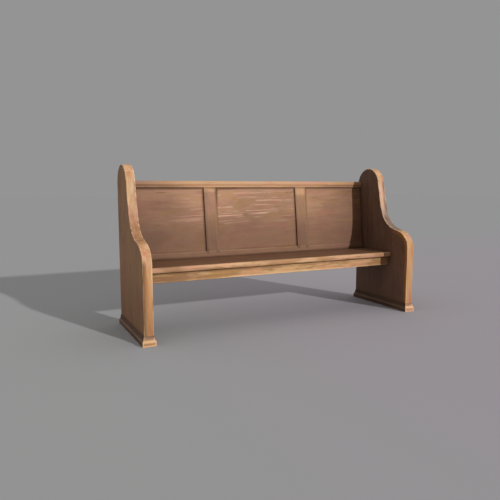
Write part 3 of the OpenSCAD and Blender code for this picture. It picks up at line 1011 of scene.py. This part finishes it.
def steel():
    """Dull screw steel, with rust in its hollows."""
    material = bpy.data.materials.new("screw_steel")
    material.use_nodes = True
    material.node_tree.nodes.clear()
    g = Graph(material.node_tree)
    spot = g.add("ShaderNodeTexCoord").outputs["Object"]
    rust = g.step(g.noise(spot, RUST_GRAIN, 3.0, 0.6), *RUSTED)
    scratch = g.noise(spot, SCRATCHES, 2.0, 0.5)
    shader = g.add("ShaderNodeBsdfPrincipled")
    g.join(g.mix(rust, STEEL, RUST), shader.inputs["Base Color"])
    g.join(g.math("SUBTRACT", 1.0, rust), shader.inputs["Metallic"])
    rough = g.math("ADD", g.times(rust, RUST_ROUGH), g.times(scratch, SCRATCH_ROUGH))
    g.join(rough, shader.inputs["Roughness"])
    g.join(g.bump(scratch, *STEEL_BUMP), shader.inputs["Normal"])
    g.join(shader.outputs[0], g.add("ShaderNodeOutputMaterial").inputs["Surface"])
    return material


# ---- Making the pieces ----

HIDDEN = {node for node in NODES if "tongue" in node}
SCREWS = {node for node in NODES if node.endswith("_screws")}


def finished_piece(node, bm, kinds, arris, corners, faint_lines, draw):
    """Stands for a CAD node: the same piece, worked and finished."""
    bm = rounded(node, bm, kinds, END_SEGMENTS if node.startswith("end_") else SEGMENTS)
    low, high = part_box(node)
    near = np.concatenate([arris, near_box(corners, np.array(low), np.array(high), NEAR_PIECE)])
    cut_flats(node, bm, near)
    mesh = made_mesh(node, bm, arris, corners, faint_lines)
    piece = bpy.data.objects.new(node + "_finished", mesh)
    bpy.context.scene.collection.objects.link(piece)
    mesh.materials.clear()
    mesh.materials.append(wood(node, SLOT_OF[node], draw))
    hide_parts(node)
    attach(piece, "root")


def dress(node, material):
    """Gives a CAD node that stays as it is its material."""
    NODES[node].data.materials.clear()
    NODES[node].data.materials.append(material)


def make_pew():
    draw = random.Random(SEED)
    worked = sorted(set(NODES) - HIDDEN - SCREWS)
    surveys = {node: survey(node) for node in worked}
    corners, faint_lines = (np.concatenate([found[i] for found in surveys.values()]) for i in (3, 4))
    for node in worked:
        bm, kinds, arris = surveys[node][:3]
        finished_piece(node, bm, kinds, arris, corners, faint_lines, draw)
    for node in sorted(HIDDEN):
        dress(node, wood(node, SLOT_OF[node], draw))
    metal = steel()
    for node in sorted(SCREWS):
        dress(node, metal)


# ---- The studio ----

def floor_material():
    """Matt paper, grey to the left and behind, faintly violet to the right."""
    material = bpy.data.materials.new("studio_floor")
    material.use_nodes = True
    g = Graph(material.node_tree)
    shader = material.node_tree.nodes["Principled BSDF"]
    place = g.split(g.add("ShaderNodeTexCoord").outputs["Object"])
    near = g.times(g.step(place[0], *FLOOR_ASIDE), g.step(place[1], *FLOOR_AWAY))
    g.join(g.mix(near, FLOOR_GREY, FLOOR_COLOUR), shader.inputs["Base Color"])
    shader.inputs["Roughness"].default_value = 1.0
    shader.inputs["Specular IOR Level"].default_value = 0.0
    return material


def make_floor():
    half = FLOOR_SIZE / 2
    corners = [(-half, -half, 0), (half, -half, 0), (half, half, 0), (-half, half, 0)]
    mesh = bpy.data.meshes.new("studio_floor")
    mesh.from_pydata(corners, [], [(0, 1, 2, 3)])
    floor = bpy.data.objects.new("studio_floor", mesh)
    bpy.context.scene.collection.objects.link(floor)
    mesh.materials.append(floor_material())


def make_sky():
    """A plain grey studio, brighter overhead."""
    world = bpy.data.worlds.new("studio")
    world.use_nodes = True
    world.node_tree.nodes.clear()
    g = Graph(world.node_tree)
    towards = g.split(g.add("ShaderNodeTexCoord").outputs["Generated"])
    share = g.step(towards[2], *SKY_RISE)
    back = g.add("ShaderNodeBackground")
    g.join(g.mix(share, (SKY_LOW,) * 3, (SKY_HIGH,) * 3), back.inputs["Color"])
    g.join(back.outputs[0], g.add("ShaderNodeOutputWorld").inputs["Surface"])
    bpy.context.scene.world = world


def make_sun():
    lamp = bpy.data.lights.new("key", "SUN")
    lamp.energy = SUN_POWER
    lamp.angle = math.radians(SUN_ANGLE)
    key = bpy.data.objects.new("key", lamp)
    key.rotation_euler = (-TO_SUN).to_track_quat("-Z", "Y").to_euler()
    bpy.context.scene.collection.objects.link(key)


def make_camera():
    lens = bpy.data.cameras.new("camera")
    lens.lens = CAMERA_LENS
    lens.sensor_width = SENSOR
    lens.clip_end = CAMERA_FAR
    camera = bpy.data.objects.new("camera", lens)
    camera.location = CAMERA_PLACE
    camera.rotation_euler = (math.radians(90 - CAMERA_DOWN), 0, math.radians(-CAMERA_TURN))
    bpy.context.scene.collection.objects.link(camera)
    bpy.context.scene.camera = camera
    bpy.context.scene.view_settings.view_transform = "Standard"


make_pew()
make_floor()
make_sky()
make_sun()
make_camera()
